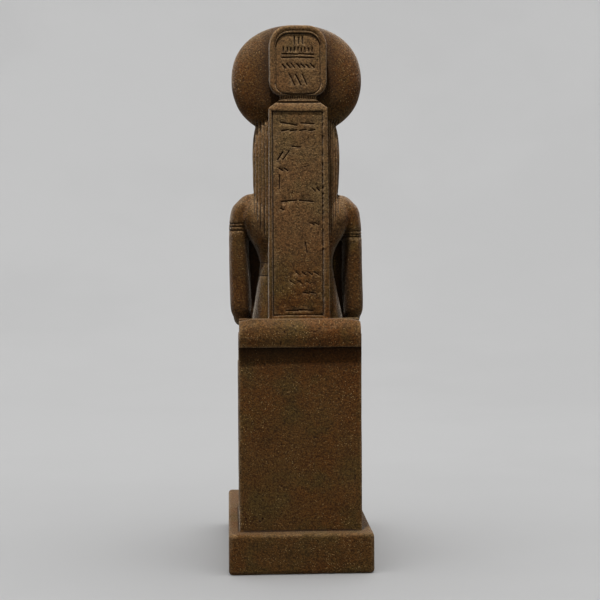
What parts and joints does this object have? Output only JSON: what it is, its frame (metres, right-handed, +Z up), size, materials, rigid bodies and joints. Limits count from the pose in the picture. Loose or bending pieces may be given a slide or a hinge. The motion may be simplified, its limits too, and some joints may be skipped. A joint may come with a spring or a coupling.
{
  "type": "seated sekhmet statue",
  "caption": "Seated lion-headed goddess with an oval sun disc, long striped wig, inscribed back pillar and block throne on a plinth, cut from brown sandstone.",
  "frame": {"origin": "middle of the plinth's underside", "axes": "+Z up, the figure faces -Y and its back pillar faces +Y, +X is the figure's own left"},
  "size_m": [0.158, 0.284, 0.5995],
  "materials": {
    "sandstone": "matt, grainy, with soft worn edges and dark dirt in the hollows"
  },
  "bodies": {
    "root": {"seated_lioness_statue": "sandstone"}
  },
  "joints": []
}
